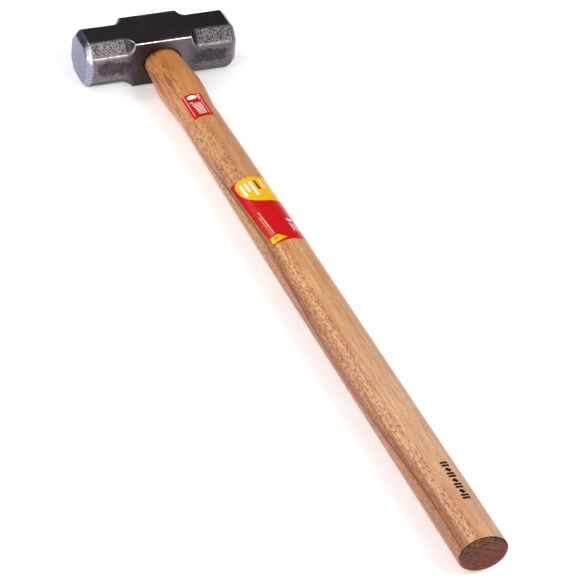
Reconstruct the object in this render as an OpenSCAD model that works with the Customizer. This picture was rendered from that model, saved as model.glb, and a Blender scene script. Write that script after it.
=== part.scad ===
// Double-faced sledgehammer, lying on one cheek.
// X runs along the head from face to face, the handle leaves the head along -Y, +Z is up.
// The origin is the middle of the lower cheek, straight below the middle of the eye.

/* [Head] */
// Length of the head over both striking faces
head_len = 173.5; // [150:0.5:190]
// Depth of the head, measured along the handle
head_depth = 58; // [54:0.5:64]
// Height of the head, from cheek to cheek
head_height = 55; // [52:0.5:62]
// Leg of the corner chamfers that make both polls octagonal
poll_chamfer = 13.5; // [11:0.5:15]
// Length of the square block around the eye
block_len = 66; // [58:1:76]
// Radius of the hollow where a poll chamfer runs out into the block
run_out_r = 8.5; // [5:0.5:9]
// Rounding of the long edges of the block
block_edge_r = 4; // [2:0.5:6]
// Distance from the middle of the head to the bevels on the eight sides of each poll
bevel_at = 80.3; // [70:0.1:84]
// Diameter of a striking face, inside its bevels
face_d = 52; // [46:1:53]
// Radius of the crown on a striking face
crown_r = 300; // [200:10:500]

/* [Eye] */
// Half of the eye's long axis at both mouths
eye_r = 20.5; // [19:0.5:21]
// Half of the eye's long axis at its waist
waist_r = 19.2; // [17.5:0.1:19.5]
// Distance of the waist from the middle of the head, towards the butt
waist_at = 6; // [0:1:12]
// Width of the chamfer round both mouths
mouth_chamfer = 1.2; // [0.5:0.1:1.5]
// Short axis of the eye and of the handle, over the long axis
oval_ratio = 0.8; // [0.75:0.01:0.85]

/* [Handle] */
// Length of the handle over everything
handle_len = 914; // [760:1:950]
// How far the tenon stands out of the head
tenon_proud = 2; // [1:0.5:4]
// Half of the long axis at the shoulder
shoulder_r = 24.3; // [22:0.1:25]
// Distance of the shoulder from the middle of the head
shoulder_at = 88; // [75:1:95]
// Half of the long axis at the neck
neck_r = 21.2; // [20:0.1:22]
// Distance of the neck from the middle of the head
neck_at = 140; // [125:1:150]
// Half of the long axis where the grip becomes nearly parallel
grip_r = 24; // [23:0.1:25]
// Distance of that place from the middle of the head
grip_at = 463; // [430:1:500]
// Half of the long axis at the butt
butt_r = 24.9; // [24:0.1:27]
// Rounding of the butt's rim
butt_round = 1.5; // [0.5:0.5:3]

/* [Wedges] */
// Depth of the saw kerf and of the wood wedge in it
wood_wedge_len = 40; // [34:1:44]
// Thickness of the wood wedge at its driven end
wood_wedge_top = 7; // [5:0.5:8]
// Thickness of the wood wedge at its tip
wood_wedge_tip = 1.6; // [1:0.1:2.5]
// Depth of the steel wedges
steel_wedge_len = 27; // [20:1:30]
// Width of the steel wedges
steel_wedge_width = 22; // [18:0.5:24]
// Thickness of the steel wedges at the driven end
steel_wedge_top = 3.6; // [3:0.1:4.5]
// Thickness of the steel wedges at the tip
steel_wedge_tip = 0.8; // [0.5:0.1:1.5]
// Distance of each steel wedge from the middle of the tenon
steel_wedge_offset = 9.5; // [8:0.5:11]
// Depth of the barbs on the steel wedges
barb = 0.3; // [0.1:0.05:0.4]

/* [Labels] */
// Thickness of the label film
film = 0.2; // [0.15:0.05:0.4]
// Start of the small label, from the middle of the head
small_label_at = 122; // [110:1:130]
// Length of the small label
small_label_len = 42; // [30:1:50]
// First edge of the small label round the handle, 90 is straight up
small_label_from = 70; // [60:1:80]
// How far the small label wraps round the handle
small_label_wrap = 60; // [40:1:70]
// Start of the large label, from the middle of the head
large_label_at = 287; // [270:1:300]
// Length of the large label
large_label_len = 114; // [100:1:130]
// First edge of the large label round the handle, 90 is straight up
large_label_from = -60; // [-90:1:0]
// How far the large label wraps round the handle
large_label_wrap = 204; // [150:1:240]

/* [Hidden] */
half_depth = head_depth / 2;
half_height = head_height / 2;
// Distance of a chamfer plane from the head's middle line
chamfer_plane = (half_depth + half_height - poll_chamfer) / sqrt(2);
face_r = face_d / 2;
// How far the crown drops from the middle of a face to its rim
crown_drop = crown_r - sqrt(pow(crown_r, 2) - pow(face_r, 2));
// Radius that clears every corner of the head
corner_r = head_depth;
// Distances along the handle, from the middle of the head towards the butt
tenon_end = -(half_depth + tenon_proud);
butt_end = tenon_end + handle_len;
tenon_rim = 0.8;
// Spacing of the handle's stations where it curves, and where it is nearly straight
curve_step = 8.5;
straight_step = 35;
// Number of teeth along each side of a steel wedge, and number of steps round the butt's rim
barb_count = 3;
rim_steps = 4;
// Size that reaches past the whole head or tenon, and how far the eye's cut runs past the head
past = 120;
eye_past = 1;
$fn = 160;

// Smooth step from a to b as t goes from 0 to 1
function ease(a, b, t) = a + (b - a) * (1 - cos(180 * t)) / 2;

// Half of the handle's long axis at a distance s below the head
function handle_r(s) =
    s < shoulder_at ? ease(eye_r, shoulder_r, (s - half_depth) / (shoulder_at - half_depth)) :
    s < neck_at ? ease(shoulder_r, neck_r, (s - shoulder_at) / (neck_at - shoulder_at)) :
    s < grip_at ? neck_r + (grip_r - neck_r) * sin(90 * (s - neck_at) / (grip_at - neck_at)) :
    grip_r + (butt_r - grip_r) * (s - grip_at) / (butt_end - grip_at);

// Stations below the head, each as [half of the long axis, distance]
function stations(from, to, step) =
    let (count = ceil((to - from) / step))
    [for (i = [0 : count - 1]) let (s = from + (to - from) * i / count) [handle_r(s), s]];

// Quarter round at the butt's rim
function rim() =
    [for (i = [0 : rim_steps]) let (a = 90 * i / rim_steps)
        [butt_r - butt_round * (1 - cos(a)), butt_end - butt_round * (1 - sin(a))]];

// Frame of the handle: local Z runs from the middle of the head towards the butt
module along_handle() {
    translate([0, 0, half_height])
        rotate([90, 0, 0])
            children();
}

// Turns an outline round the handle's axis and flattens it to the oval section
module oval_turn(from = 0, wrap = 360) {
    along_handle()
        scale([1, oval_ratio, 1])
            rotate([0, 0, from])
                rotate_extrude(angle = wrap)
                    children();
}

// Outline of the eye, wide at both mouths and narrow at the waist, run on past the head
module eye_outline() {
    end = half_depth + eye_past;
    mouth_r = eye_r + mouth_chamfer + eye_past;
    polygon([
        [0, -end],
        [mouth_r, -end],
        [eye_r, -half_depth + mouth_chamfer],
        [waist_r, waist_at],
        [eye_r, half_depth - mouth_chamfer],
        [mouth_r, end],
        [0, end]
    ]);
}

// Outline of the handle from tenon to butt
module handle_outline() {
    polygon(concat(
        [[0, tenon_end],
         [eye_r - tenon_rim, tenon_end],
         [eye_r, tenon_end + tenon_rim],
         [eye_r, -half_depth + mouth_chamfer],
         [waist_r, waist_at],
         [eye_r, half_depth - mouth_chamfer]],
        stations(half_depth, neck_at, curve_step),
        stations(neck_at, butt_end - butt_round, straight_step),
        rim(),
        [[0, butt_end]]
    ));
}

// Part of the handle's outline that a label lies on, raised by the film's thickness
module film_outline(at, len) {
    intersection() {
        difference() {
            translate([film, 0])
                handle_outline();
            handle_outline();
        }
        translate([neck_r / 2, at])
            square([neck_r, len]);
    }
}

// Square bar of the head with rounded long edges, along X
module head_bar() {
    rotate([90, 0, 90])
        linear_extrude(height = head_len, center = true) {
            square([head_depth, head_height - 2 * block_edge_r], center = true);
            square([head_depth - 2 * block_edge_r, head_height], center = true);
            for (a = [-1, 1], b = [-1, 1])
                translate([a * (half_depth - block_edge_r), b * (half_height - block_edge_r)])
                    circle(r = block_edge_r);
        }
}

// What one poll chamfer takes off a corner, with the hollow where it meets the block
module poll_cut() {
    linear_extrude(height = past, center = true) {
        translate([block_len / 2 + run_out_r, chamfer_plane])
            square([past, past]);
        translate([block_len / 2, chamfer_plane + run_out_r])
            square([past, past]);
        translate([block_len / 2 + run_out_r, chamfer_plane + run_out_r])
            circle(r = run_out_r);
    }
}

// Envelope of two opposite sides of the head, which lie at a distance reach from its middle
// line: their ends are bevelled at 45 degrees from bevel_at outwards
module side_bevels(reach) {
    end = head_len / 2;
    rim = reach - (end - bevel_at);
    flare = bevel_at + reach - corner_r;
    linear_extrude(height = past, center = true)
        polygon([
            [-end, -rim],
            [-flare, -corner_r],
            [flare, -corner_r],
            [end, -rim],
            [end, rim],
            [flare, corner_r],
            [-flare, corner_r],
            [-end, rim]
        ]);
}

// Turned envelope of the head: a 45 degree cone that takes off what is left round each face
module face_bevels() {
    rim_at = head_len / 2 - crown_drop;
    rotate([0, 90, 0])
        rotate_extrude()
            polygon([
                [0, -head_len / 2],
                [face_r, -head_len / 2],
                [face_r, -rim_at],
                [corner_r, -rim_at + corner_r - face_r],
                [corner_r, rim_at - corner_r + face_r],
                [face_r, rim_at],
                [face_r, head_len / 2],
                [0, head_len / 2]
            ]);
}

module hammer_head() {
    color("#46424a")
        difference() {
            translate([0, 0, half_height])
                intersection() {
                    difference() {
                        head_bar();
                        for (side = [0, 180], corner = [45, 135, 225, 315])
                            rotate([corner, 0, side])
                                poll_cut();
                    }
                    face_bevels();
                    side_bevels(half_depth);
                    rotate([90, 0, 0])
                        side_bevels(half_height);
                    rotate([45, 0, 0])
                        side_bevels(chamfer_plane);
                    rotate([-45, 0, 0])
                        side_bevels(chamfer_plane);
                    for (side = [-1, 1])
                        translate([side * (head_len / 2 - crown_r), 0, 0])
                            sphere(r = crown_r);
                }
            oval_turn()
                eye_outline();
        }
}

// Space of the wood wedge: it narrows from the driven end of the tenon
module wood_wedge_space() {
    top = wood_wedge_top / 2;
    tip = wood_wedge_tip / 2;
    tip_at = tenon_end + wood_wedge_len;
    along_handle()
        rotate([90, 0, 90])
            linear_extrude(height = past, center = true)
                polygon([[-top, tenon_end], [top, tenon_end], [tip, tip_at], [-tip, tip_at]]);
}

// One flank of a steel wedge. Every tooth but the last ends in a ledge as deep as a barb.
function flank(side) =
    let (top = steel_wedge_top / 2, tip = steel_wedge_tip / 2)
    [for (i = [0 : barb_count - 1], end = [0, 1])
        let (t = (i + end) / barb_count, ledge = end == 1 && i < barb_count - 1 ? barb : 0)
        [side * (top + (tip - top) * t - ledge), tenon_end + steel_wedge_len * t]];

// Steel wedge, driven across the wood wedge
module steel_wedge(side) {
    right = flank(1);
    left = flank(-1);
    last = len(left) - 1;
    along_handle()
        translate([side * steel_wedge_offset, 0, 0])
            rotate([90, 0, 0])
                linear_extrude(height = steel_wedge_width, center = true)
                    polygon(concat(right, [for (i = [0 : last]) left[last - i]]));
}

module handle() {
    color("#d3a070")
        difference() {
            oval_turn()
                handle_outline();
            wood_wedge_space();
            steel_wedge(-1);
            steel_wedge(1);
        }
}

module wood_wedge() {
    color("#e6cfa4")
        difference() {
            intersection() {
                wood_wedge_space();
                oval_turn()
                    handle_outline();
            }
            steel_wedge(-1);
            steel_wedge(1);
        }
}

module steel_wedge_left() {
    color("#8c8f94")
        steel_wedge(-1);
}

module steel_wedge_right() {
    color("#8c8f94")
        steel_wedge(1);
}

module safety_label() {
    color("#cf1020")
        oval_turn(small_label_from, small_label_wrap)
            film_outline(small_label_at, small_label_len);
}

module product_label() {
    color("#d8141c")
        oval_turn(large_label_from, large_label_wrap)
            film_outline(large_label_at, large_label_len);
}

hammer_head();
handle();
wood_wedge();
steel_wedge_left();
steel_wedge_right();
safety_label();
product_label();
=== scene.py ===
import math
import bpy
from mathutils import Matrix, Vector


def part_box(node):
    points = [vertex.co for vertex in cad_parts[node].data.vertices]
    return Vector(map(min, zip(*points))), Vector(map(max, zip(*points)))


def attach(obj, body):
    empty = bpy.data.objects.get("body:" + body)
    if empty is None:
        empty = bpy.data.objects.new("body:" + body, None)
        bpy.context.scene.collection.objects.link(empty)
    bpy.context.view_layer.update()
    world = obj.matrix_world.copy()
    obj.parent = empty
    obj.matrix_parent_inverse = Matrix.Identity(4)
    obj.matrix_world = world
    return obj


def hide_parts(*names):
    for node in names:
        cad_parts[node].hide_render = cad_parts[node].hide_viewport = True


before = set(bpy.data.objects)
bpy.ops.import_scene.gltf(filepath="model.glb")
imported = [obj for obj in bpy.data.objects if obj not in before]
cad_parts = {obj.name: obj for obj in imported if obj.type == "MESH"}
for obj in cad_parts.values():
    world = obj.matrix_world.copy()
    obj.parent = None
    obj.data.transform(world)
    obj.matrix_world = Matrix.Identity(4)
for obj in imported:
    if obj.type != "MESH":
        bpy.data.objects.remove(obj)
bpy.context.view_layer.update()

# A double-faced sledgehammer lying on one cheek. Lengths are in metres, and the frame is the CAD's:
# X along the head from face to face, the handle along -Y, +Z up, the lower cheek at Z = 0.
from types import SimpleNamespace

import bmesh
import bpy
import numpy as np
from mathutils import Matrix, Vector, noise

MM = 0.001
BODY = "root"

# ---------------------------------------------------------------- sizes taken from the frame
head_low, head_high = (Vector(corner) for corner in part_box("hammer_head"))
handle_low, handle_high = (Vector(corner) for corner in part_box("handle"))
HALF_LEN = (head_high.x - head_low.x) / 2
HALF_DEPTH = (head_high.y - head_low.y) / 2
HALF_HEIGHT = (head_high.z - head_low.z) / 2
AXIS_Z = (head_high.z + head_low.z) / 2
TENON_END = -handle_high.y
BUTT_END = -handle_low.y

# ---------------------------------------------------------------- sizes shared with the CAD design
POLL_CHAMFER = 13.5 * MM
HALF_BLOCK = 33 * MM
RUN_OUT_R = 8.5 * MM
FACE_R = 26 * MM
BEVEL_AT = 80.3 * MM
CROWN_R = 300 * MM
EYE_R = 20.5 * MM
WAIST_R = 19.2 * MM
WAIST_AT = 6 * MM
MOUTH_CHAMFER = 1.2 * MM
OVAL = 0.8
SHOULDER_R, SHOULDER_AT = 24.3 * MM, 88 * MM
NECK_R, NECK_AT = 21.2 * MM, 140 * MM
GRIP_R, GRIP_AT = 24 * MM, 463 * MM
BUTT_R, BUTT_ROUND = 24.9 * MM, 1.5 * MM
WOOD_WEDGE_LEN, WOOD_WEDGE_TOP, WOOD_WEDGE_TIP = 40 * MM, 7 * MM, 1.6 * MM
STEEL_WEDGE_LEN, STEEL_WEDGE_WIDTH = 27 * MM, 22 * MM
STEEL_WEDGE_TOP, STEEL_WEDGE_TIP = 3.6 * MM, 0.8 * MM
STEEL_WEDGE_OFFSET = 9.5 * MM
SAFETY_LABEL_AT, PRODUCT_LABEL_AT = 122 * MM, 287 * MM

# ---------------------------------------------------------------- sizes of the visual model alone
# Points round the handle and the eye
AROUND = 128
# Unevenness of the hand-sanded handle: its height and its length along the wood
SANDING_WAVE, SANDING_LEN = 0.12 * MM, 60 * MM
# Half width of the strip that the wood wedge is cut from, wider than the tenon
WOOD_WEDGE_STRIP = 30 * MM
# How far the cutters of kerf and slots stand out of the tenon
CUTTER_PAST_END = 3 * MM
# Room between a wedge and the wood round it
WEDGE_GAP = 0.05 * MM
# Heights of a label's underside and top above the handle's skin
FILM_UNDERSIDE, FILM = 0.01 * MM, 0.16 * MM
# Thickness of one layer of print, and how deep it sinks into the film
INK, INK_SUNK = 0.03 * MM, 0.005 * MM
# Width of the cells that bend round the handle
LABEL_CELL = 1.6 * MM


# ================================================================ mesh helpers
def link_mesh(name, mesh):
    obj = bpy.data.objects.new(name, mesh)
    bpy.context.collection.objects.link(obj)
    return obj


def make_object(name, verts, faces):
    mesh = bpy.data.meshes.new(name)
    mesh.from_pydata([tuple(v) for v in verts], [], [tuple(f) for f in faces])
    mesh.validate()
    return link_mesh(name, mesh)


def loft(name, rows):
    """Closed tube through rings of equal length. The first and last rings are single points."""
    count = len(rows[1])
    verts = [rows[0][0]]
    for row in rows[1:-1]:
        verts.extend(row)
    verts.append(rows[-1][0])
    faces = []
    ring_count = len(rows) - 2
    for j in range(count):
        k = (j + 1) % count
        faces.append((0, 1 + k, 1 + j))
        for i in range(ring_count - 1):
            a = 1 + i * count
            b = a + count
            faces.append((a + j, a + k, b + k, b + j))
        last = 1 + (ring_count - 1) * count
        faces.append((last + j, last + k, len(verts) - 1))
    obj = make_object(name, verts, faces)
    outward(obj)
    return obj


def outward(obj):
    """Turns all faces outwards."""
    bm = bmesh.new()
    bm.from_mesh(obj.data)
    bmesh.ops.recalc_face_normals(bm, faces=bm.faces)
    bm.to_mesh(obj.data)
    bm.free()


def apply_modifiers(obj):
    graph = bpy.context.evaluated_depsgraph_get()
    mesh = bpy.data.meshes.new_from_object(obj.evaluated_get(graph))
    obj.modifiers.clear()
    obj.data = mesh


def cut(obj, cutter, operation="DIFFERENCE", keep_cutter=False):
    modifier = obj.modifiers.new("cut", "BOOLEAN")
    modifier.operation = operation
    modifier.solver = "EXACT"
    modifier.object = cutter
    apply_modifiers(obj)
    if not keep_cutter:
        bpy.data.objects.remove(cutter)


def soften(obj, angle=35):
    """Smooth shading that keeps the edges sharper than an angle, in degrees."""
    obj.data.shade_smooth()
    obj.data.set_sharp_from_angle(angle=math.radians(angle))


def bevel(obj, width, segments):
    modifier = obj.modifiers.new("bevel", "BEVEL")
    modifier.width = width
    modifier.segments = segments
    modifier.limit_method = "ANGLE"
    apply_modifiers(obj)


def finish_piece(obj, slot, material, *nodes):
    """Rides the piece on the hammer and gives it a finish. It stands for the CAD nodes named."""
    obj.data.materials.clear()
    obj.data.materials.append(material)
    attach(obj, BODY)
    if nodes:
        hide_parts(*nodes)


# ================================================================ material helpers
class Shader:
    """Short way to build a node material."""

    def __init__(self, name):
        self.material = bpy.data.materials.new(name)
        self.material.use_nodes = True
        self.tree = self.material.node_tree
        self.tree.nodes.clear()
        self.output = self.tree.nodes.new("ShaderNodeOutputMaterial")
        self.surface = self.tree.nodes.new("ShaderNodeBsdfPrincipled")
        self.tree.links.new(self.surface.outputs["BSDF"], self.output.inputs["Surface"])

    def put(self, socket, value):
        if isinstance(value, bpy.types.NodeSocket):
            self.tree.links.new(value, socket)
        else:
            socket.default_value = value

    def node(self, kind, inputs=None, out=0, **settings):
        made = self.tree.nodes.new(kind)
        for key, value in settings.items():
            setattr(made, key, value)
        for key, value in (inputs or {}).items():
            self.put(made.inputs[key], value)
        return made.outputs[out]

    def place(self):
        """Place in the object's own frame, which is the CAD's."""
        return self.node("ShaderNodeTexCoord", out="Object")

    def split(self, vector):
        made = self.tree.nodes.new("ShaderNodeSeparateXYZ")
        self.put(made.inputs[0], vector)
        return made.outputs[0], made.outputs[1], made.outputs[2]

    def join(self, x, y, z):
        return self.node("ShaderNodeCombineXYZ", {0: x, 1: y, 2: z})

    def math(self, operation, a, b=0.0, c=0.0):
        return self.node("ShaderNodeMath", {0: a, 1: b, 2: c}, operation=operation)

    def plus(self, a, b):
        return self.math("ADD", a, b)

    def minus(self, a, b):
        return self.math("SUBTRACT", a, b)

    def times(self, a, b):
        return self.math("MULTIPLY", a, b)

    def hypot(self, a, b):
        return self.math("SQRT", self.plus(self.times(a, a), self.times(b, b)))

    def stretch(self, vector, scale):
        return self.node("ShaderNodeVectorMath", {0: vector, 1: scale}, operation="MULTIPLY")

    def noise(self, vector, scale=1.0, detail=2.0, rough=0.5, distortion=0.0):
        return self.node("ShaderNodeTexNoise", {
            "Vector": vector,
            "Scale": scale,
            "Detail": detail,
            "Roughness": rough,
            "Distortion": distortion,
        })

    def ramp(self, value, low, high):
        """0 at low, 1 at high, which may be the smaller of the two."""
        made = self.tree.nodes.new("ShaderNodeMapRange")
        made.interpolation_type = "SMOOTHSTEP"
        self.put(made.inputs["Value"], value)
        made.inputs["From Min"].default_value = low
        made.inputs["From Max"].default_value = high
        return made.outputs["Result"]

    def band(self, value, middle, half_width):
        """1 on the middle of a stripe, falling to 0 at its sides."""
        away = self.math("ABSOLUTE", self.minus(value, middle))
        return self.minus(1.0, self.ramp(away, half_width * 0.15, half_width))

    def scaled(self, value, low, high):
        """Spreads 0 to 1 over low to high."""
        return self.math("MULTIPLY_ADD", value, high - low, low)

    def mix(self, factor, a, b):
        """Colour a where the factor is 0, colour b where it is 1."""
        made = self.tree.nodes.new("ShaderNodeMix")
        made.data_type = "RGBA"
        self.put(made.inputs["Factor"], factor)
        self.put(made.inputs["A"], a)
        self.put(made.inputs["B"], b)
        return made.outputs["Result"]

    def mix_value(self, factor, a, b):
        return self.node("ShaderNodeMix", {"Factor": factor, "A": a, "B": b})

    def bump(self, height, strength, distance):
        return self.node("ShaderNodeBump", {"Height": height, "Strength": strength, "Distance": distance})

    def attribute(self, name):
        return self.node("ShaderNodeAttribute", out="Fac", attribute_name=name)

    def set(self, **values):
        """Sets the surface's inputs. An underscore stands for a space in an input's name."""
        for key, value in values.items():
            self.put(self.surface.inputs[key.replace("_", " ")], value)


def rgb(hex_colour):
    """Linear colour of an sRGB hex code."""
    parts = [int(hex_colour[i:i + 2], 16) / 255 for i in (1, 3, 5)]
    return tuple(c / 12.92 if c <= 0.04045 else ((c + 0.055) / 1.055) ** 2.4 for c in parts) + (1.0,)


# ================================================================ shape of the handle
def ease(a, b, t):
    return a + (b - a) * (1 - math.cos(math.pi * t)) / 2


def handle_radius(s):
    """Half of the handle's long axis at a distance s below the middle of the head."""
    if s < HALF_DEPTH:
        return EYE_R
    if s < SHOULDER_AT:
        return ease(EYE_R, SHOULDER_R, (s - HALF_DEPTH) / (SHOULDER_AT - HALF_DEPTH))
    if s < NECK_AT:
        return ease(SHOULDER_R, NECK_R, (s - SHOULDER_AT) / (NECK_AT - SHOULDER_AT))
    if s < GRIP_AT:
        return NECK_R + (GRIP_R - NECK_R) * math.sin(math.pi / 2 * (s - NECK_AT) / (GRIP_AT - NECK_AT))
    return GRIP_R + (BUTT_R - GRIP_R) * (s - GRIP_AT) / (BUTT_END - GRIP_AT)


def tenon_radius(s):
    """Half of the long axis inside the eye, which is narrowest at its waist."""
    top = -HALF_DEPTH + MOUTH_CHAMFER
    bottom = HALF_DEPTH - MOUTH_CHAMFER
    if s < top:
        return EYE_R
    if s < WAIST_AT:
        return EYE_R + (WAIST_R - EYE_R) * (s - top) / (WAIST_AT - top)
    return WAIST_R + (EYE_R - WAIST_R) * (s - WAIST_AT) / (bottom - WAIST_AT)


def handle_point(s, angle, lift=0.0):
    """Point on the handle's skin. The angle is 90 degrees on top, and lift is along the skin's normal."""
    a = math.radians(angle)
    r = handle_radius(s)
    waves_round = 2.2
    wave = noise.noise(Vector((waves_round * math.cos(a), waves_round * math.sin(a), s / SANDING_LEN)))
    away_from_eye = min(1, max(0, (s - HALF_DEPTH) / (10 * MM)))
    r += SANDING_WAVE * wave * away_from_eye
    normal = Vector((OVAL * math.cos(a), 0, math.sin(a))).normalized()
    return Vector((r * math.cos(a), -s, AXIS_Z + OVAL * r * math.sin(a))) + lift * normal


def oval_row(s, r):
    """Ring of points with half axes r and OVAL * r."""
    turns = [2 * math.pi * j / AROUND for j in range(AROUND)]
    return [(r * math.cos(t), -s, AXIS_Z + OVAL * r * math.sin(t)) for t in turns]


def tenon_rows():
    """Rings from the middle of the tenon's end, over its rounded rim, to the lower mouth of the eye."""
    rim = 0.8 * MM
    inside = 0.03 * MM
    rows = [[(0, -TENON_END, AXIS_Z)]]
    for part in (0.25, 0.5, 0.75, 0.92):
        rows.append(oval_row(TENON_END, part * EYE_R))
    for turn in (0, 30, 60, 90):
        t = math.radians(turn)
        drop = rim * (1 - math.cos(math.radians(90 - turn)))
        rows.append(oval_row(TENON_END + rim * (1 - math.cos(t)), EYE_R - drop))
    for s in np.linspace(-HALF_DEPTH + MOUTH_CHAMFER, HALF_DEPTH - MOUTH_CHAMFER, 12):
        rows.append(oval_row(s, tenon_radius(s) - inside))
    return rows


def butt_rows():
    """Rings over the rounded edge of the butt to the middle of its sawn end."""
    rows = []
    for turn in (0, 22.5, 45, 67.5, 90):
        t = math.radians(turn)
        drop = BUTT_ROUND * (1 - math.cos(t))
        rows.append(oval_row(BUTT_END - BUTT_ROUND * (1 - math.sin(t)), BUTT_R - drop))
    for part in (0.9, 0.8, 0.65, 0.5, 0.35, 0.2, 0.08):
        rows.append(oval_row(BUTT_END, part * BUTT_R))
    rows.append([(0, -BUTT_END, AXIS_Z)])
    return rows


def build_handle():
    fine_step, grip_step = 3 * MM, 7 * MM
    grip_end, before_butt = BUTT_END - 4 * MM, BUTT_END - 2.2 * MM
    stations = list(np.arange(HALF_DEPTH, NECK_AT, fine_step))
    stations += list(np.arange(NECK_AT, grip_end, grip_step))
    stations.append(before_butt)
    shaft = [[handle_point(s, 360 * j / AROUND) for j in range(AROUND)] for s in stations]
    return loft("handle_wood", tenon_rows() + shaft + butt_rows())


# ================================================================ wedges
def wedge_block(name, half_top, half_tip, half_width, length, flat, gap=0.0, past_top=0.0):
    """Tapered block from the tenon's end downwards. flat is the axis, X or Z, that it is thin along."""
    top_s = TENON_END - past_top
    verts = []
    for s, half in ((top_s, half_top), (TENON_END + length, half_tip)):
        for wide, thin in ((-1, -1), (1, -1), (1, 1), (-1, 1)):
            a, b = wide * (half_width + gap), thin * (half + gap)
            x, z = (a, b) if flat == "Z" else (b, a)
            verts.append((x, -s, AXIS_Z + z))
    faces = [(3, 2, 1, 0), (4, 5, 6, 7)]
    faces += [(i + 4, (i + 1) % 4 + 4, (i + 1) % 4, i) for i in range(4)]
    obj = make_object(name, verts, faces)
    outward(obj)
    return obj


def steel_wedge_cutter(side):
    obj = wedge_block("cutter", STEEL_WEDGE_TOP / 2, STEEL_WEDGE_TIP / 2, STEEL_WEDGE_WIDTH / 2,
                      STEEL_WEDGE_LEN, "X", gap=WEDGE_GAP, past_top=CUTTER_PAST_END)
    obj.data.transform(Matrix.Translation((side * STEEL_WEDGE_OFFSET, 0, 0)))
    return obj


def steel_wedge_flank():
    """Barbed side of a steel wedge from its driven end to its tip, as pairs of half thickness and s."""
    teeth = 3
    barb = 0.3 * MM
    flank = []
    for i in range(teeth):
        for end in (0, 1):
            t = (i + end) / teeth
            half = (STEEL_WEDGE_TOP + (STEEL_WEDGE_TIP - STEEL_WEDGE_TOP) * t) / 2
            flank.append((half - barb * end * (i < teeth - 1), TENON_END + STEEL_WEDGE_LEN * t))
    return flank


def build_steel_wedge(name, side):
    """Barbed wedge with small hammer dents in its driven end."""
    slices = 9
    dent_depth = 0.12 * MM
    flank = steel_wedge_flank()
    outline = flank + [(-half, s) for half, s in reversed(flank)]
    verts = []
    for i in range(slices):
        width = STEEL_WEDGE_WIDTH * (i / (slices - 1) - 0.5)
        for half, s in outline:
            dent = dent_depth * noise.noise(Vector((width / (3 * MM), half / (2 * MM), side * 5.0)))
            lift = dent if s == TENON_END else 0
            verts.append((half + side * STEEL_WEDGE_OFFSET, -s - lift, AXIS_Z + width))
    n = len(outline)
    faces = [tuple(range(n)), tuple(reversed(range((slices - 1) * n, slices * n)))]
    for i in range(slices - 1):
        for j in range(n):
            k = (j + 1) % n
            faces.append((i * n + j, (i + 1) * n + j, (i + 1) * n + k, i * n + k))
    obj = make_object(name, verts, faces)
    outward(obj)
    bevel(obj, 0.22 * MM, 2)
    soften(obj)
    return obj


def build_wood_wedge(tenon):
    """Strip of pale wood, cut to the tenon's oval and by the two steel wedges."""
    obj = wedge_block("wood_wedge_strip", WOOD_WEDGE_TOP / 2 - WEDGE_GAP, WOOD_WEDGE_TIP / 2 - WEDGE_GAP,
                      WOOD_WEDGE_STRIP, WOOD_WEDGE_LEN, "Z")
    cut(obj, tenon, "INTERSECT", keep_cutter=True)
    for side in (-1, 1):
        cut(obj, steel_wedge_cutter(side))
    bevel(obj, 0.12 * MM, 1)
    soften(obj)
    return obj


def cut_slots(handle):
    """Cuts the saw kerf and the slots of the steel wedges into the tenon."""
    kerf = wedge_block("kerf", WOOD_WEDGE_TOP / 2, WOOD_WEDGE_TIP / 2, WOOD_WEDGE_STRIP,
                       WOOD_WEDGE_LEN, "Z", past_top=CUTTER_PAST_END)
    cut(handle, kerf)
    for side in (-1, 1):
        cut(handle, steel_wedge_cutter(side))


# ================================================================ forged head
def smooth_max(a, b, width):
    """Larger of two fields, blended over a width, which rounds the edge between them."""
    blend = np.maximum(width - np.abs(a - b), 0) / width
    return np.maximum(a, b) + blend * blend * width / 4


def head_field(p):
    """Signed distance of the head, and marks that tell the finish of each point of its skin.

    The marks are the distance to the nearest edge in millimetres, 1 on the flat part of a chamfer,
    and 1 on the ground ends.
    """
    x, y, z = (np.abs(p[..., i]) for i in range(3))
    front = y - HALF_DEPTH
    cheek = z - HALF_HEIGHT
    plane = (HALF_DEPTH + HALF_HEIGHT - POLL_CHAMFER) / math.sqrt(2)
    away_x = HALF_BLOCK + RUN_OUT_R - x
    away_n = plane + RUN_OUT_R - (y + z) / math.sqrt(2)
    hollow = np.hypot(np.maximum(away_x, 0), np.maximum(away_n, 0))
    chamfer = RUN_OUT_R - hollow - np.minimum(np.maximum(away_x, away_n), 0)
    radius = np.hypot(y, z)
    rim_at = HALF_LEN - (CROWN_R - math.sqrt(CROWN_R ** 2 - FACE_R ** 2))
    cone = (radius - FACE_R - rim_at + x) / math.sqrt(2)
    octagon = np.maximum(np.maximum(front, cheek), (y + z) / math.sqrt(2) - plane)
    facet = (octagon + x - BEVEL_AT) / math.sqrt(2)
    crown = np.sqrt((x + CROWN_R - HALF_LEN) ** 2 + radius ** 2) - CROWN_R
    flat_edge, chamfer_edge, facet_edge, face_edge = 4.4 * MM, 1.5 * MM, 0.5 * MM, 0.8 * MM
    bar = smooth_max(front, cheek, flat_edge)
    body = smooth_max(bar, chamfer, chamfer_edge)
    sided = smooth_max(smooth_max(body, facet, facet_edge), cone, face_edge)
    whole = smooth_max(sided, crown, face_edge)
    end = np.maximum(np.maximum(facet, cone), crown)
    sides = np.sort(np.stack([front, cheek, chamfer, end]), axis=0)
    marks = {
        "edge": (sides[-1] - sides[-2]) / MM,
        "flat_chamfer": ((chamfer > bar) & (x > HALF_BLOCK + RUN_OUT_R)).astype(float),
        "polish": np.clip((end - body) / (0.5 * MM) + 0.5, 0, 1),
    }
    return whole, marks


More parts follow.
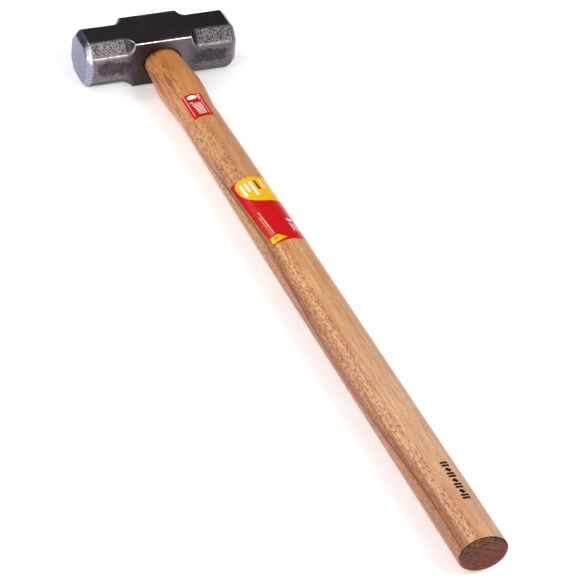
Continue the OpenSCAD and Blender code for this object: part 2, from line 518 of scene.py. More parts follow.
def head_rays():
    """Rows of rays that sweep the head from one face to the other: their starts and directions."""
    around = np.linspace(0, 2 * math.pi, 300, endpoint=False)
    cap_at = 66 * MM
    hollow_from = HALF_BLOCK - 2 * MM
    hollow_to = HALF_BLOCK + RUN_OUT_R + 1 * MM
    flats = np.arange(0, hollow_from, 1.6 * MM)
    run_out = np.arange(hollow_from, hollow_to, 0.5 * MM)
    poll = np.arange(hollow_to, cap_at, 1.4 * MM)
    side = np.concatenate([flats, run_out, poll])
    near_rim = np.arange(0, 48, 0.9)
    over_face = np.arange(48, 89, 4.5)
    tilts = np.radians(np.concatenate([near_rim, over_face]))
    rows = [(-cap_at, -t) for t in tilts[:0:-1]]
    rows += [(x, 0.0) for x in np.concatenate([-side[:0:-1], side])]
    rows += [(cap_at, t) for t in tilts]
    starts = np.array([x for x, _ in rows])
    lean = np.array([t for _, t in rows])
    start = np.zeros((len(rows), len(around), 3))
    start[..., 0] = starts[:, None]
    way = np.empty_like(start)
    way[..., 0] = np.sin(lean)[:, None]
    way[..., 1] = np.cos(lean)[:, None] * np.cos(around)
    way[..., 2] = np.cos(lean)[:, None] * np.sin(around)
    return start, way


def surface_points(start, way):
    """Where each ray leaves the head, by bisection."""
    beyond_skin = 60 * MM
    halvings = 32
    low = np.zeros(start.shape[:2])
    high = np.full(start.shape[:2], beyond_skin)
    for _ in range(halvings):
        middle = (low + high) / 2
        field, _ = head_field(start + way * middle[..., None])
        low = np.where(field < 0, middle, low)
        high = np.where(field < 0, high, middle)
    return start + way * low[..., None]


def forge_marks(points, way, marks):
    """Shallow dents and scale left by forging. The ground faces stay smooth."""
    sunk = 0.12
    moved = points.copy()
    for i in range(points.shape[0]):
        for j in range(points.shape[1]):
            p = Vector(points[i, j])
            rough = 1 - marks["polish"][i, j]
            if rough < 0.02:
                continue
            dents = noise.noise(p / (17 * MM)) * 0.16 + noise.noise(p / (6 * MM)) * 0.06
            grit_depth = 0.06 if marks["flat_chamfer"][i, j] > 0.5 else 0.02
            grit = noise.noise(p / (1.9 * MM)) * grit_depth
            moved[i, j] += way[i, j] * (dents + grit - sunk) * rough * MM
    return moved


def build_head():
    start, way = head_rays()
    points = surface_points(start, way)
    _, marks = head_field(points)
    moved = forge_marks(points, way, marks)
    moved[..., 2] += AXIS_Z
    left_end = [(-HALF_LEN, 0, AXIS_Z)]
    right_end = [(HALF_LEN, 0, AXIS_Z)]
    obj = loft("forged_head", [left_end] + [list(row) for row in moved] + [right_end])
    at_ends = {"edge": 20.0, "flat_chamfer": 0.0, "polish": 1.0}
    for name, values in marks.items():
        end = [at_ends[name]]
        layer = obj.data.attributes.new(name, "FLOAT", "POINT")
        layer.data.foreach_set("value", np.concatenate([end, values.ravel(), end]))
    cut(obj, eye_cutter())
    soften(obj, 40)
    return obj


def eye_cutter():
    """Tapered oval eye with a chamfered mouth at both ends."""
    past = 2 * MM
    flare = EYE_R + MOUTH_CHAMFER + past
    inside = np.linspace(-HALF_DEPTH + MOUTH_CHAMFER, HALF_DEPTH - MOUTH_CHAMFER, 14)
    rows = [oval_row(-HALF_DEPTH - past, flare)]
    rows += [oval_row(s, tenon_radius(s)) for s in inside]
    rows += [oval_row(HALF_DEPTH + past, flare)]
    top_end = [(0, HALF_DEPTH + past, AXIS_Z)]
    bottom_end = [(0, -HALF_DEPTH - past, AXIS_Z)]
    return loft("eye_cutter", [top_end] + rows + [bottom_end])


# ================================================================ labels and ink
class Wrap:
    """Flat artwork laid round the handle: u runs towards the butt, v runs over the top towards +X.

    It starts at a distance below the middle of the head and at an angle, and it may be tilted,
    in degrees, about a middle along u.
    """

    def __init__(self, start, first_angle, tilt=0.0, middle=0.0):
        self.start = start
        self.tilt = math.radians(tilt)
        self.middle = middle
        # Lengths round the skin, from a little before the first edge to well past the last one
        r = handle_radius(start + 40 * MM)
        self.angles = np.linspace(first_angle + 30, first_angle - 280, 1500)
        t = np.radians(self.angles)
        steps = np.hypot(r * np.sin(t), OVAL * r * np.cos(t)) * abs(t[1] - t[0])
        self.lengths = np.cumsum(steps)
        self.lengths -= np.interp(-first_angle, -self.angles, self.lengths)

    def point(self, u, v, lift):
        du = u - self.middle
        turned_u = self.middle + du * math.cos(self.tilt) - v * math.sin(self.tilt)
        turned_v = du * math.sin(self.tilt) + v * math.cos(self.tilt)
        angle = float(np.interp(turned_v, self.lengths, self.angles))
        return handle_point(self.start + turned_u, angle, lift)


def arc(cu, cv, ru, rv, first, last, steps=8):
    """Points of an ellipse's arc between two angles in degrees."""
    turns = [math.radians(first + (last - first) * i / steps) for i in range(steps + 1)]
    return [(cu + ru * math.cos(t), cv + rv * math.sin(t)) for t in turns]


def rounded(u0, v0, u1, v1, r=0.0):
    """Outline of a rectangle whose corners have the radius r."""
    if r == 0:
        return [(u1, v1), (u0, v1), (u0, v0), (u1, v0)]
    outline = arc(u1 - r, v1 - r, r, r, 0, 90, 6)
    outline += arc(u0 + r, v1 - r, r, r, 90, 180, 6)
    outline += arc(u0 + r, v0 + r, r, r, 180, 270, 6)
    outline += arc(u1 - r, v0 + r, r, r, 270, 360, 6)
    return outline


def oval_outline(cu, cv, ru, rv):
    """Closed oval of 16 points."""
    return arc(cu, cv, ru, rv, 0, 337.5, 15)


def slanted(u, v0, v1, width, lean):
    """Leaning bar across the artwork."""
    return [(u, v0), (u + width, v0), (u + width + lean, v1), (u + lean, v1)]


def cut_into_cells(bm):
    """Cuts flat artwork into cells that are small enough to bend round the handle."""
    us = [v.co.x for v in bm.verts]
    vs = [v.co.y for v in bm.verts]
    directions = ((min(us), max(us), 0, 4 * LABEL_CELL), (min(vs), max(vs), 1, LABEL_CELL))
    for low_edge, high_edge, axis, step in directions:
        for k in range(1, int((high_edge - low_edge) / step) + 1):
            spot = [0, 0, 0]
            spot[axis] = low_edge + k * step
            way = [0, 0, 0]
            way[axis] = 1
            geometry = bm.verts[:] + bm.edges[:] + bm.faces[:]
            bmesh.ops.bisect_plane(bm, geom=geometry, dist=1e-6, plane_co=spot, plane_no=way)


def print_on(name, wrap, outlines, low, high):
    """Closed film with the shapes of outlines in millimetres, laid on the handle between two lifts."""
    bm = bmesh.new()
    for outline in outlines:
        bm.faces.new([bm.verts.new((u * MM, v * MM, 0)) for u, v in outline])
    bm.normal_update()
    cut_into_cells(bm)
    made = bmesh.ops.extrude_face_region(bm, geom=bm.faces[:])
    for item in made["geom"]:
        if isinstance(item, bmesh.types.BMVert):
            item.co.z = 1
    for vert in bm.verts:
        u, v, up = vert.co
        vert.co = wrap.point(u, v, low + (high - low) * up)
    bmesh.ops.recalc_face_normals(bm, faces=bm.faces)
    mesh = bpy.data.meshes.new(name)
    bm.to_mesh(mesh)
    bm.free()
    obj = link_mesh(name, mesh)
    soften(obj, 50)
    return obj


def row_of_blocks(u, v, height, lengths):
    """Row of plain blocks along u, in place of a printed word."""
    gap = 0.7
    corner = 0.45
    blocks = []
    for length in lengths:
        blocks.append(rounded(u, v - height / 2, u + length, v + height / 2, corner))
        u += length + gap
    return blocks


def product_label_prints():
    """Shapes printed on the large label, by colour."""
    panel = arc(9, 14, 9, 10, 180, 270, 6) + arc(14, 26, 30, 22, 275, 360, 10)
    panel += [(42.5, 62)] + arc(34, 66, 8, 6, 0, 90, 4) + [(0, 72)]
    tag = [(102, 1.2), (111.5, 0.9), (112, 2), (110, 17.5), (101, 10.5)]
    words = row_of_blocks(8, 10, 2.6, (9.5, 10.5)) + row_of_blocks(8, 15.2, 2.6, (4.5, 10))
    words += row_of_blocks(7, 20.8, 3, (12, 5, 7)) + row_of_blocks(6, 32.5, 1.8, (5, 10))
    small_print = [rounded(85, 30 + 1.8 * i, 100 - 2.5 * (i % 2), 30.5 + 1.8 * i) for i in range(5)]
    dark_words = row_of_blocks(7, 26.4, 2.8, (3.5, 12)) + row_of_blocks(103, 6.2, 1.1, (2.2, 2))
    dark_words += row_of_blocks(103.3, 8.4, 1.1, (1.8, 2))
    return {
        "yellow": [panel, tag],
        "white": words + [oval_outline(79.5, 33.5, 2.2, 3.8), rounded(58, 8.1, 98, 8.7)] + small_print,
        "gold": [rounded(65, 5.7, 99, 6.5)],
        "brown": dark_words,
    }


def build_product_label(materials):
    """Large label: red field, a yellow panel at the head end, plain blocks in place of words."""
    wrap = Wrap(PRODUCT_LABEL_AT, 144, tilt=3.1, middle=57 * MM)
    length, width = 114, 78
    outline = arc(3, 3, 3, 3, 270, 180) + [(0, width), (length, width)]
    outline += arc(length - 1.5, 1.5, 1.5, 1.5, 0, -90)
    sheet = print_on("product_label_film", wrap, [outline], FILM_UNDERSIDE, FILM)
    finish_piece(sheet, "label_film", materials["red"], "product_label")
    for colour, shapes in product_label_prints().items():
        layers = 2 if colour in ("white", "brown") else 1
        piece = print_on("product_label_" + colour, wrap, shapes, FILM - INK_SUNK, FILM + layers * INK)
        finish_piece(piece, "label_film", materials[colour])


def build_safety_label(materials):
    """Small label: border lines, a plain oval and lines in place of words."""
    wrap = Wrap(SAFETY_LABEL_AT, 130)
    length, width = 42, 22.5
    outline = rounded(0, 0, length, width, 1.8)
    sheet = print_on("safety_label_film", wrap, [outline], FILM_UNDERSIDE, FILM)
    finish_piece(sheet, "label_film", materials["red"], "safety_label")
    white = [rounded(1.5, 2.6, 38, 3.0), rounded(1.5, 19.3, 38, 19.7), rounded(1, 17.2, 10.5, 18.1)]
    white += [oval_outline(5.6, 10.6, 3.2, 5.4)]
    for i in range(10):
        first, last = (5.2, 8.5) if i == 0 else (6.0 + 0.25 * i, 17.5 - 0.1 * i)
        white.append(rounded(13.5 + 2.45 * i, first, 14.5 + 2.45 * i, last))
    piece = print_on("safety_label_white", wrap, white, FILM - INK_SUNK, FILM + INK)
    finish_piece(piece, "label_film", materials["white"])


def build_ink_mark(materials):
    """Printed band of plain leaning bars and diamonds near the butt."""
    start = 772 * MM
    wrap = Wrap(start, 85)
    pitch, height = 8.1, 8.4
    bar_width, bar_lean, second_bar = 2.9, -1.2, 4.2
    depth = 0.02 * MM
    shapes = []
    for i in range(7):
        u = pitch * i
        if i % 2:
            shapes.append([(u, height / 2), (u + 3.4, 0.4), (u + 6.8, height / 2), (u + 3.4, height - 0.4)])
        else:
            shapes.append(slanted(u, 0, height, bar_width, bar_lean))
            shapes.append(slanted(u + second_bar, 0, height, bar_width, bar_lean))
    piece = print_on("ink_mark", wrap, shapes, -depth, depth)
    finish_piece(piece, "hickory", materials["ink"])


# ================================================================ materials
def wood_fields(m):
    """Places on the handle, and the patterns that several parts of its finish share."""
    w = SimpleNamespace(place=m.place())
    x, y, z = m.split(w.place)
    w.along = m.times(y, -1.0)
    # Degrees round the handle from the top, positive on the left
    turn = m.math("ARCTAN2", m.times(x, -1.0), m.math("DIVIDE", m.minus(z, AXIS_Z), OVAL))
    w.left = m.math("DEGREES", turn)
    w.streaks = m.noise(m.stretch(w.place, (190, 3.0, 190)), detail=4, rough=0.6)
    w.broad = m.noise(m.stretch(w.place, (60, 6, 60)), detail=3)
    w.fibre = m.noise(m.stretch(w.place, (2400, 60, 2400)), detail=2, rough=0.6)
    w.side_lines = m.noise(m.stretch(w.place, (300, 7, 300)), detail=4, rough=0.7)
    w.wander = m.scaled(w.broad, -7.0, 7.0)
    # The border between pale and porous wood weaves along the handle
    weave = m.math("SINE", m.math("MULTIPLY_ADD", w.along, math.pi / 0.4, -3.377))
    border = m.math("MULTIPLY_ADD", weave, 8.0, 15.0)
    w.past_border = m.plus(m.minus(w.left, border), m.times(w.wander, 0.4))
    w.porous = m.times(m.ramp(w.past_border, -2.0, 5.0), m.ramp(w.left, 178.0, 120.0))
    return w


def wood_tone(m, w):
    """Orange near the head, paler down the grip, palest two thirds of the way, browner at both sides. The
    paling down the grip is partly the wood's tone and partly a painted sheen of the lacquer, and the
    browner right side is painted shade.
    """
    colour = m.mix(w.porous, rgb("#e09a5f"), rgb("#e6a066"))
    # Paler stages down the grip: the wood's own tone with a painted sheen of the lacquer
    stages_with_sheen = (
        (0.1, 0.24, "#e0ac79", "#e4ad78"),
        (0.45, 0.62, "#e0b790", "#deae82"),
        (0.7, 0.86, "#d6ab88", "#d9aa84"),
    )
    for first, last, pale, porous in stages_with_sheen:
        colour = m.mix(m.ramp(w.along, first, last), colour, m.mix(w.porous, rgb(pale), rgb(porous)))
    colour = m.mix(m.scaled(m.ramp(w.streaks, 0.68, 0.3), 0.0, 0.45), colour, rgb("#b8713d"))
    red_side = m.times(m.ramp(w.left, 52.0, 74.0), m.scaled(m.ramp(w.along, 0.25, 0.5), 0.15, 0.65))
    colour = m.mix(red_side, colour, rgb("#a35f38"))
    side_grain = m.times(m.ramp(w.left, 36.0, 60.0), m.ramp(w.side_lines, 0.5, 0.62))
    colour = m.mix(m.times(side_grain, 0.6), colour, rgb("#6f3b26"))
    lines = m.noise(m.stretch(w.place, (640, 20, 640)), detail=4, rough=0.65)
    colour = m.mix(m.scaled(m.ramp(lines, 0.42, 0.62), 0.0, 0.42), colour, rgb("#a3623a"))
    # Painted shade: the right side of the handle is darker and pinker
    return m.mix(m.scaled(m.ramp(w.left, -26.0, -44.0), 0.0, 0.24), colour, rgb("#9a6256"))


def add_gold_line(m, w, colour):
    """Gold heartwood line along the border, widest near the head."""
    gold = m.band(m.minus(w.past_border, 2.0), 0.0, 9.0)
    near_head = m.times(m.ramp(w.along, 0.15, 0.05), m.band(w.left, 20.0, 42.0))
    gold = m.math("MAXIMUM", m.times(gold, m.ramp(w.broad, 0.3, 0.55)), near_head)
    return m.mix(m.times(gold, 0.75), colour, rgb("#be7426"))


def add_mineral_line(m, w, colour):
    """One dark line that winds along the left side in a brown halo, which widens near the butt."""
    swing = m.math("COSINE", m.math("MULTIPLY_ADD", w.along, 2 * math.pi / 0.445, -5.366))
    line_at = m.plus(m.math("MULTIPLY_ADD", swing, -14.0, 72.0), m.times(w.wander, 0.7))
    off_line = m.minus(w.left, line_at)
    below_neck = m.ramp(w.along, 0.1, 0.3)
    halo = m.times(m.band(off_line, -4.0, 16.0), below_neck)
    near_butt = m.times(m.ramp(w.along, 0.6, 0.82), m.band(off_line, -8.0, 22.0))
    halo = m.math("MAXIMUM", halo, m.times(near_butt, 1.3))
    colour = m.mix(m.times(halo, m.scaled(w.side_lines, 0.1, 0.8)), colour, rgb("#84421f"))
    dark = m.times(m.band(off_line, 0.0, 5.0), below_neck)
    dark = m.times(dark, m.scaled(m.ramp(w.streaks, 0.35, 0.6), 0.35, 0.9))
    return m.mix(dark, colour, rgb("#552c1b"))


def add_stains(m, w, colour):
    """Brown stains near the head."""
    stain = m.noise(m.stretch(w.place, (170, 26, 170)), detail=4, rough=0.65)
    stained = m.times(m.ramp(stain, 0.48, 0.62), m.ramp(w.along, 0.15, 0.09))
    stained = m.times(stained, m.scaled(m.band(w.left, 36.0, 30.0), 0.25, 1.0))
    return m.mix(m.times(stained, 0.85), colour, rgb("#88451f"))


def wood_material():
    """Lacquered hickory: pale straight-grained wood on one side, porous red-brown wood on the other."""
    m = Shader("hickory")
    w = wood_fields(m)
    colour = wood_tone(m, w)
    colour = add_gold_line(m, w, colour)
    colour = add_mineral_line(m, w, colour)
    colour = add_stains(m, w, colour)
    # Pores: short dark dashes along the grain
    dashes = m.noise(m.stretch(w.place, (800, 170, 800)), detail=3, rough=0.7)
    pore = m.times(m.ramp(dashes, 0.48, 0.6), m.scaled(m.ramp(w.along, 0.09, 0.2), 0.35, 1.0))
    colour = m.mix(m.times(pore, m.scaled(w.porous, 0.16, 0.75)), colour, rgb("#84441d"))
    colour = m.mix(m.scaled(m.ramp(w.fibre, 0.35, 0.7), 0.0, 0.22), colour, rgb("#8f5a34"))
    # Painted shade in the gap where the handle enters the head
    colour = m.mix(m.times(m.ramp(w.along, 0.034, 0.0285), 0.75), colour, rgb("#3c2214"))
    bumps = m.minus(m.times(w.fibre, 0.5), pore)
    m.set(Base_Color=colour, Roughness=m.scaled(w.streaks, 0.4, 0.58), Normal=m.bump(bumps, 0.4, 0.0004))
    m.set(Coat_Weight=0.2, Coat_Roughness=0.2, Specular_IOR_Level=0.4)
    return m.material


def butt_rings(m, far, ring, cloud):
    """Reddish rings, a darker crescent outside them and a grey streak where the two meet."""
    colour = m.mix(m.ramp(ring, 0.2, 0.9), rgb("#70382b"), rgb("#52271c"))
    colour = m.mix(m.scaled(m.ramp(cloud, 0.42, 0.66), 0.0, 0.6), colour, rgb("#33180f"))
    crescent = m.mix(m.ramp(cloud, 0.4, 0.6), rgb("#6e3f14"), rgb("#2e1809"))
    colour = m.mix(m.ramp(far, 0.0658, 0.0672), colour, crescent)
    grey = m.times(m.band(far, 0.0648, 0.003), m.ramp(cloud, 0.42, 0.56))
    return m.mix(m.times(grey, 0.75), colour, rgb("#37333a"))


def add_dark_rim_and_highlight(m, colour, x, up, cloud):
    """Rim darkened by the finish on its upper half; on its lower half the rim is lighter and browner, a
    painted highlight.
    """
    rim = m.hypot(x, m.math("DIVIDE", up, OVAL))
    rim = m.math("MULTIPLY_ADD", cloud, 2 * MM, rim)
    # Painted highlight on the lower half of the rim; the upper half is darkened by the finish
    shade = m.mix(m.ramp(up, -0.004, 0.004), rgb("#8a5340"), rgb("#24130d"))
    on_rim = m.ramp(rim, BUTT_R - 2.2 * MM, BUTT_R - 0.6 * MM)
    return m.mix(m.times(on_rim, 0.85), colour, shade)


def end_grain_material():
    """Sawn butt: reddish end grain with ring arcs, pores and saw lines, a darker crescent at the top."""
    m = Shader("hickory_end_grain")
    place = m.place()
    x, y, z = m.split(place)
    up = m.minus(z, AXIS_Z)
    soft = m.noise(m.stretch(place, (130, 130, 130)), detail=4)
    cloud = m.noise(place, 260.0, detail=4, rough=0.65)
    # The rings centre on the tree's pith, below the handle and to its right
    far = m.hypot(m.plus(x, -0.016), m.plus(up, 0.052))
    far = m.math("MULTIPLY_ADD", soft, 0.003, far)
    ring = m.math("FRACT", m.times(far, 420))
    colour = butt_rings(m, far, ring, cloud)
    colour = add_dark_rim_and_highlight(m, colour, x, up, cloud)
    dots = m.node("ShaderNodeTexVoronoi", {"Vector": m.stretch(place, (1, 0.02, 1)), "Scale": 2300.0})
    pore = m.times(m.ramp(dots, 0.32, 0.12), m.ramp(ring, 0.8, 0.3))
    colour = m.mix(m.times(pore, 0.7), colour, rgb("#3a2118"))
    across_saw = m.join(m.math("MULTIPLY_ADD", x, 0.4, up), y, 0.0)
    saw = m.noise(m.stretch(across_saw, (700, 1, 1)), detail=2)
    colour = m.mix(m.scaled(m.ramp(saw, 0.45, 0.65), 0.0, 0.35), colour, rgb("#8d5c4a"))
    height = m.minus(m.times(saw, 0.4), pore)
    m.set(Base_Color=colour, Roughness=m.scaled(soft, 0.42, 0.62), Normal=m.bump(height, 0.4, 0.0002))
    m.set(Specular_IOR_Level=0.15)
    return m.material


def tenon_material(name, light, dark):
    """Bare end grain at the top of the head."""
    m = Shader(name)
    place = m.place()
    x, _, z = m.split(place)
    soft = m.noise(m.stretch(place, (140, 60, 140)), detail=4)
    far = m.math("MULTIPLY_ADD", soft, 0.0015, m.math("MULTIPLY_ADD", x, 0.25, z))
    ring = m.math("FRACT", m.times(far, 520))
    colour = m.mix(m.ramp(ring, 0.15, 0.9), rgb(light), rgb(dark))
    dots = m.node("ShaderNodeTexVoronoi", {"Vector": m.stretch(place, (1, 0.05, 1)), "Scale": 2100.0})
    pore = m.ramp(dots, 0.3, 0.12)
    colour = m.mix(m.times(pore, 0.5), colour, rgb("#5b3a22"))
    grime = m.noise(m.stretch(place, (60, 60, 60)), detail=3)
    colour = m.mix(m.times(m.ramp(grime, 0.5, 0.75), 0.45), colour, rgb("#6b4a30"))
    height = m.minus(m.times(soft, 0.6), pore)
    m.set(Base_Color=colour, Roughness=m.scaled(soft, 0.5, 0.75), Normal=m.bump(height, 0.5, 0.0002))
    return m.material


def head_fields(m):
    """Places on the head, the marks stored on its mesh, and the patterns that its finish shares."""
    h = SimpleNamespace(place=m.place())
    h.x, h.y, h.z = m.split(h.place)
    h.across = m.math("ABSOLUTE", h.x)
    h.edge = m.attribute("edge")
    h.polish = m.attribute("polish")
    h.flat_chamfer = m.attribute("flat_chamfer")
    h.blotch = m.noise(h.place, 150.0, detail=4, rough=0.6)
    h.fine = m.noise(h.place, 1000.0, detail=3, rough=0.6)
    h.speck = m.noise(h.place, 400.0, detail=3, rough=0.75)
    h.lines = m.noise(m.stretch(h.place, (40, 1100, 1100)), detail=3, rough=0.55)
    h.swirl = m.noise(m.stretch(h.place, (300, 120, 900)), detail=3)
    diagonal = m.join(m.plus(h.x, h.z), m.minus(h.x, h.z), h.y)
    h.ripple = m.noise(m.stretch(diagonal, (900, 300, 900)), detail=2, distortion=0.5)
    return h


def forge_scale(m, h):
    """Dark specked scale, rubbed along the edges of the front flats and stained round the eye."""
    scale = m.mix(m.ramp(h.blotch, 0.3, 0.7), rgb("#453d45"), rgb("#564e56"))
    scale = m.mix(m.scaled(m.ramp(h.speck, 0.4, 0.68), 0.0, 0.6), scale, rgb("#7c747b"))
    scale = m.mix(m.scaled(m.ramp(h.fine, 0.4, 0.65), 0.0, 0.6), scale, rgb("#2c282d"))
    scale = m.mix(m.scaled(m.ramp(h.lines, 0.4, 0.65), 0.0, 0.25), scale, rgb("#6c646c"))
    # Rubbed frame with a ragged inner border
    ragged = m.plus(h.edge, m.scaled(m.noise(h.place, 70.0, detail=5, rough=0.7), -9.0, 9.0))
    on_front = m.times(m.ramp(h.y, -0.026, -0.0275), m.ramp(h.across, 0.03, 0.046))
    frame_mark = m.times(m.ramp(ragged, 5.6, 3.6), on_front)
    scale = m.mix(m.times(frame_mark, m.scaled(h.speck, 0.0, 0.9)), scale, rgb("#a296a1"))
    # Painted shade darkens the right end, and painted light lightens the upper cheek
    scale = m.mix(m.scaled(m.ramp(h.x, 0.02, 0.05), 0.0, 0.3), scale, rgb("#2c282d"))
    scale = m.mix(m.scaled(m.ramp(h.z, 0.0535, 0.0545), 0.0, 0.3), scale, rgb("#70686f"))
    # Brown oil stain on the left of the eye, grey scale on its right
    near_eye = m.times(m.ramp(h.y, -0.02, -0.027), m.ramp(h.across, 0.044, 0.02))
    beside_eye = m.mix(m.ramp(h.x, 0.01, -0.01), rgb("#8d858c"), rgb("#44321f"))
    return m.mix(m.times(near_eye, 0.55), scale, beside_eye)


def chamfer_ground_and_painted_light(m, h):
    """Rippled ground of the polls' chamfers. Its pale ripple is partly bare ground steel and partly a
    painted highlight of the key light, and painted shade darkens it on the right and most low down.
    """
    ground = m.mix(m.ramp(h.ripple, 0.4, 0.58), rgb("#2c2527"), rgb("#999095"))
    # Painted shade: darker on the right poll and darkest low down
    ground = m.mix(m.scaled(m.ramp(h.x, 0.0, 0.04), 0.0, 0.26), ground, rgb("#1a1518"))
    return m.mix(m.scaled(m.ramp(h.z, 0.02, 0.012), 0.0, 0.8), ground, rgb("#3a343b"))


def edge_wear_and_highlight(m, h):
    """Bright edges, partly rubbed wear and partly a painted highlight of the key light. The painted
    highlight fades low down and on the right poll, and the edges also wear less at the ends and in the
    hollows.
    """
    near_edge = m.ramp(m.plus(h.edge, m.scaled(h.fine, -0.8, 0.8)), 1.7, 0.4)
    wear_and_highlight = m.times(near_edge, m.scaled(m.ramp(h.blotch, 0.35, 0.6), 0.4, 1.0))
    # The painted highlight fades low down, and on the right poll below
    wear_and_highlight = m.times(wear_and_highlight, m.scaled(m.ramp(h.z, 0.012, 0.03), 0.12, 1.0))
    wear_and_highlight = m.times(wear_and_highlight, m.scaled(m.ramp(h.across, 0.0805, 0.077), 0.25, 1.0))
    wear_and_highlight = m.times(wear_and_highlight, m.scaled(m.band(h.across, 0.0375, 0.006), 1.0, 0.35))
    return m.times(wear_and_highlight, m.scaled(m.ramp(h.x, 0.031, 0.036), 1.0, 0.4))


def polished_ends(m, h):
    """Ground ends: a face darker than its bevels, a painted highlight on the upper front bevel of the left
    end, and painted shade that darkens the right end.
    """
    swirl = m.ramp(h.swirl, 0.3, 0.7)
    bevels = m.mix(swirl, rgb("#8a8ba2"), rgb("#a2a3b6"))
    face = m.mix(swirl, rgb("#73748f"), rgb("#8687a2"))
    normal_x, _, _ = m.split(m.node("ShaderNodeNewGeometry", out="Normal"))
    facing_end = m.math("ABSOLUTE", normal_x)
    bright = m.mix(m.ramp(facing_end, 0.85, 0.97), bevels, face)
    # Painted highlight on the upper front bevel of the left end
    upper_front = m.times(m.ramp(m.minus(h.z, h.y), 0.062, 0.068), m.ramp(h.x, -0.0775, -0.0795))
    painted_highlight = m.times(upper_front, m.ramp(facing_end, 0.9, 0.8))
    bright = m.mix(m.times(painted_highlight, 0.9), bright, rgb("#f2f0f2"))
    # Painted shade on the right end
    return m.mix(m.scaled(m.ramp(h.x, 0.074, 0.079), 0.0, 0.6), bright, rgb("#3f4052"))


def head_material():
    """Drop-forged steel: dark scale, rippled chamfers, bright edges that are partly wear and partly painted
    highlight, and polished faces.
    """
    m = Shader("forged_steel")
    h = head_fields(m)
    wear_and_highlight = edge_wear_and_highlight(m, h)
    colour = m.mix(h.flat_chamfer, forge_scale(m, h), chamfer_ground_and_painted_light(m, h))
    # Bright edges: rubbed wear with a painted highlight
    colour = m.mix(m.times(wear_and_highlight, 0.9), colour, rgb("#dedada"))
    colour = m.mix(h.polish, colour, polished_ends(m, h))
    # Painted shade: the eye and its mouth are painted near black
    from_axis = m.hypot(h.x, m.math("DIVIDE", m.minus(h.z, AXIS_Z), OVAL))
    colour = m.mix(m.ramp(from_axis, EYE_R + 1.9 * MM, EYE_R + 1.1 * MM), colour, rgb("#120f10"))
    rough = m.minus(m.scaled(h.blotch, 0.4, 0.55), m.times(wear_and_highlight, 0.15))
    rough = m.mix_value(h.polish, rough, m.scaled(h.swirl, 0.2, 0.32))
    grit = m.plus(m.times(h.fine, 0.6), m.times(h.lines, 0.5))
    grit = m.plus(grit, m.times(m.times(h.ripple, h.flat_chamfer), 2.0))
    height = m.times(grit, m.math("MULTIPLY_ADD", h.polish, -0.94, 1.0))
    m.set(Base_Color=colour, Roughness=rough, Normal=m.bump(height, 0.45, 0.0003), Metallic=1.0)
    return m.material


def wedge_steel_material():
    m = Shader("wedge_steel")
    place = m.place()
    spots = m.noise(place, 420.0, detail=4)
    lines = m.noise(m.stretch(place, (2200, 60, 2200)), detail=2)
    colour = m.mix(m.ramp(spots, 0.35, 0.7), rgb("#8b8a8a"), rgb("#5f5853"))
    m.set(Base_Color=colour, Roughness=m.scaled(spots, 0.3, 0.5),
          Normal=m.bump(m.plus(spots, lines), 0.3, 0.0002), Metallic=1.0)
    return m.material


def print_material(name, base, shade, rough=0.3, coat=0.12):
    """Printed film or ink with slight mottle and tiny pits."""
    m = Shader(name)
    place = m.place()
    mottle = m.noise(place, 180.0, detail=4)
    pits = m.noise(place, 2600.0, detail=2)
    colour = m.mix(m.ramp(mottle, 0.35, 0.75), rgb(base), rgb(shade))
    m.set(Base_Color=colour, Roughness=m.scaled(mottle, rough - 0.05, rough + 0.1),
          Normal=m.bump(pits, 0.12, 0.0001))
    m.set(Coat_Weight=coat, Coat_Roughness=0.2, Specular_IOR_Level=0.2)
    return m.material


def floor_material():
    """White table, lit a little from below like a light table."""
    m = Shader("studio_floor")
    haze = m.noise(m.place(), 1.2, detail=2)
    white = m.mix(haze, (0.86, 0.86, 0.865, 1), (0.9, 0.9, 0.9, 1))
    m.set(Base_Color=white, Emission_Color=white, Emission_Strength=0.33, Roughness=0.6)
    return m.material


# ================================================================ the hammer
def assign_end_faces(obj, material, facing, limit_y):
    """Gives the faces that look along Y past a plane their own material. facing is 1 for +Y, -1 for -Y."""
    obj.data.materials.append(material)
    index = len(obj.data.materials) - 1
    for face in obj.data.polygons:
        if face.normal.y * facing > 0.6 and (face.center.y - limit_y) * facing > 0:
            face.material_index = index


def print_materials():
    return {
        "red": print_material("label_red", "#c80409", "#b80308"),
        "yellow": print_material("label_yellow", "#efb800", "#e8ac00"),
        "gold": print_material("label_gold", "#e69a08", "#da8c05"),
        "white": print_material("label_white", "#f6f1ee", "#ece4e0"),
        "brown": print_material("label_brown", "#8a2b0c", "#7a2408"),
        "ink": print_material("black_ink", "#0d0b09", "#17110c", rough=0.5, coat=0.0),
    }


def finish_handle(handle):
    near_end = 1 * MM
    butt = end_grain_material()
    tenon = tenon_material("tenon_end_grain", "#c99a66", "#a87445")
    finish_piece(handle, "hickory", wood_material(), "handle")
    assign_end_faces(handle, butt, -1, handle_low.y + near_end)
    assign_end_faces(handle, tenon, 1, handle_high.y - near_end)


def build_hammer():
    prints = print_materials()
    handle = build_handle()
    wedge = build_wood_wedge(handle)
    cut_slots(handle)
    soften(handle)
    finish_handle(handle)
    finish_piece(wedge, "wedge_wood", tenon_material("wedge_end_grain", "#e2c79a", "#cfae7c"), "wood_wedge")
    steel = wedge_steel_material()
    finish_piece(build_steel_wedge("steel_wedge_a", -1), "wedge_steel", steel, "steel_wedge_left")
    finish_piece(build_steel_wedge("steel_wedge_b", 1), "wedge_steel", steel, "steel_wedge_right")
    finish_piece(build_head(), "head_steel", head_material(), "hammer_head")
    build_product_label(prints)
    build_safety_label(prints)
    build_ink_mark(prints)


# ================================================================ studio
MIDDLE = Vector((0.0, -0.42, 0.0))


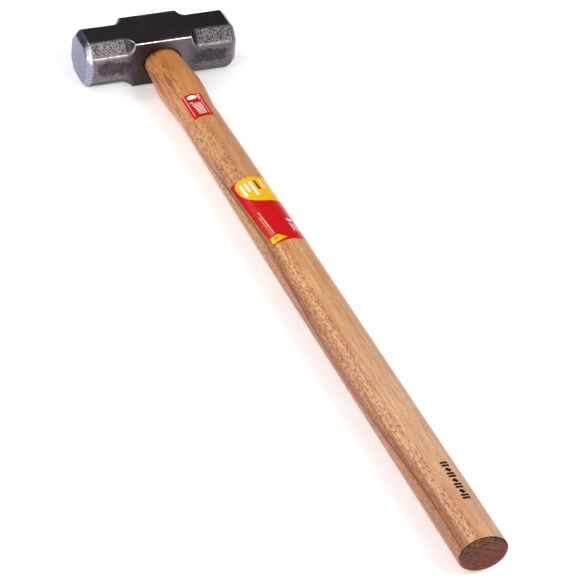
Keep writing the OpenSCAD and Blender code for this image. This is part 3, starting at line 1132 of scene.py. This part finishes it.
def aim(obj, target, roll=0.0):
    """Turns a camera or light to a target, and rolls it by an angle in degrees."""
    way = (target - obj.location).to_track_quat("-Z", "Y")
    obj.rotation_euler = (way.to_matrix() @ Matrix.Rotation(math.radians(roll), 3, "Z")).to_euler()


def add_camera():
    data = bpy.data.cameras.new("camera")
    data.sensor_width = 36
    data.lens = 223.5
    camera = bpy.data.objects.new("camera", data)
    camera.location = (-1.216, -3.084, 2.092)
    aim(camera, Vector((-0.0035, -0.4197, -0.0019)), roll=5.22)
    bpy.context.collection.objects.link(camera)
    bpy.context.scene.camera = camera


def add_softbox(name, way, distance, size, power):
    """Rectangular light at a distance from the hammer's middle, on the side that way points to."""
    data = bpy.data.lights.new(name, "AREA")
    data.shape = "RECTANGLE"
    data.size, data.size_y = size
    data.energy = power
    light = bpy.data.objects.new(name, data)
    light.location = MIDDLE + Vector(way).normalized() * distance
    aim(light, MIDDLE)
    bpy.context.collection.objects.link(light)


def add_world():
    """Even white surroundings, which mirror as a dark studio."""
    world = bpy.data.worlds.new("studio")
    world.use_nodes = True
    tree = world.node_tree
    background = tree.nodes["Background"]
    ray = tree.nodes.new("ShaderNodeLightPath")
    strength = tree.nodes.new("ShaderNodeMapRange")
    strength.inputs["To Min"].default_value = 0.50
    strength.inputs["To Max"].default_value = 0.12
    tree.links.new(ray.outputs["Is Glossy Ray"], strength.inputs["Value"])
    tree.links.new(strength.outputs["Result"], background.inputs["Strength"])
    background.inputs["Color"].default_value = (0.97, 0.98, 1.0, 1)
    bpy.context.scene.world = world


def build_studio():
    bpy.ops.mesh.primitive_plane_add(size=30, location=(0, 0, 0))
    floor = bpy.context.object
    floor.name = "floor"
    floor.data.materials.append(floor_material())
    add_softbox("key", (0.34, -0.60, 0.70), 2.6, (1.0, 1.0), 38)
    add_softbox("fill", (-0.62, -0.44, 0.65), 2.6, (1.1, 1.1), 20)
    add_softbox("left", (-0.93, -0.16, 0.32), 2.4, (0.55, 0.5), 11)
    add_softbox("highlight", (-0.74, 1.15, 1.2), 1.8, (0.4, 0.4), 5)
    add_world()
    bpy.context.scene.view_settings.view_transform = "Standard"


add_camera()
build_hammer()
build_studio()
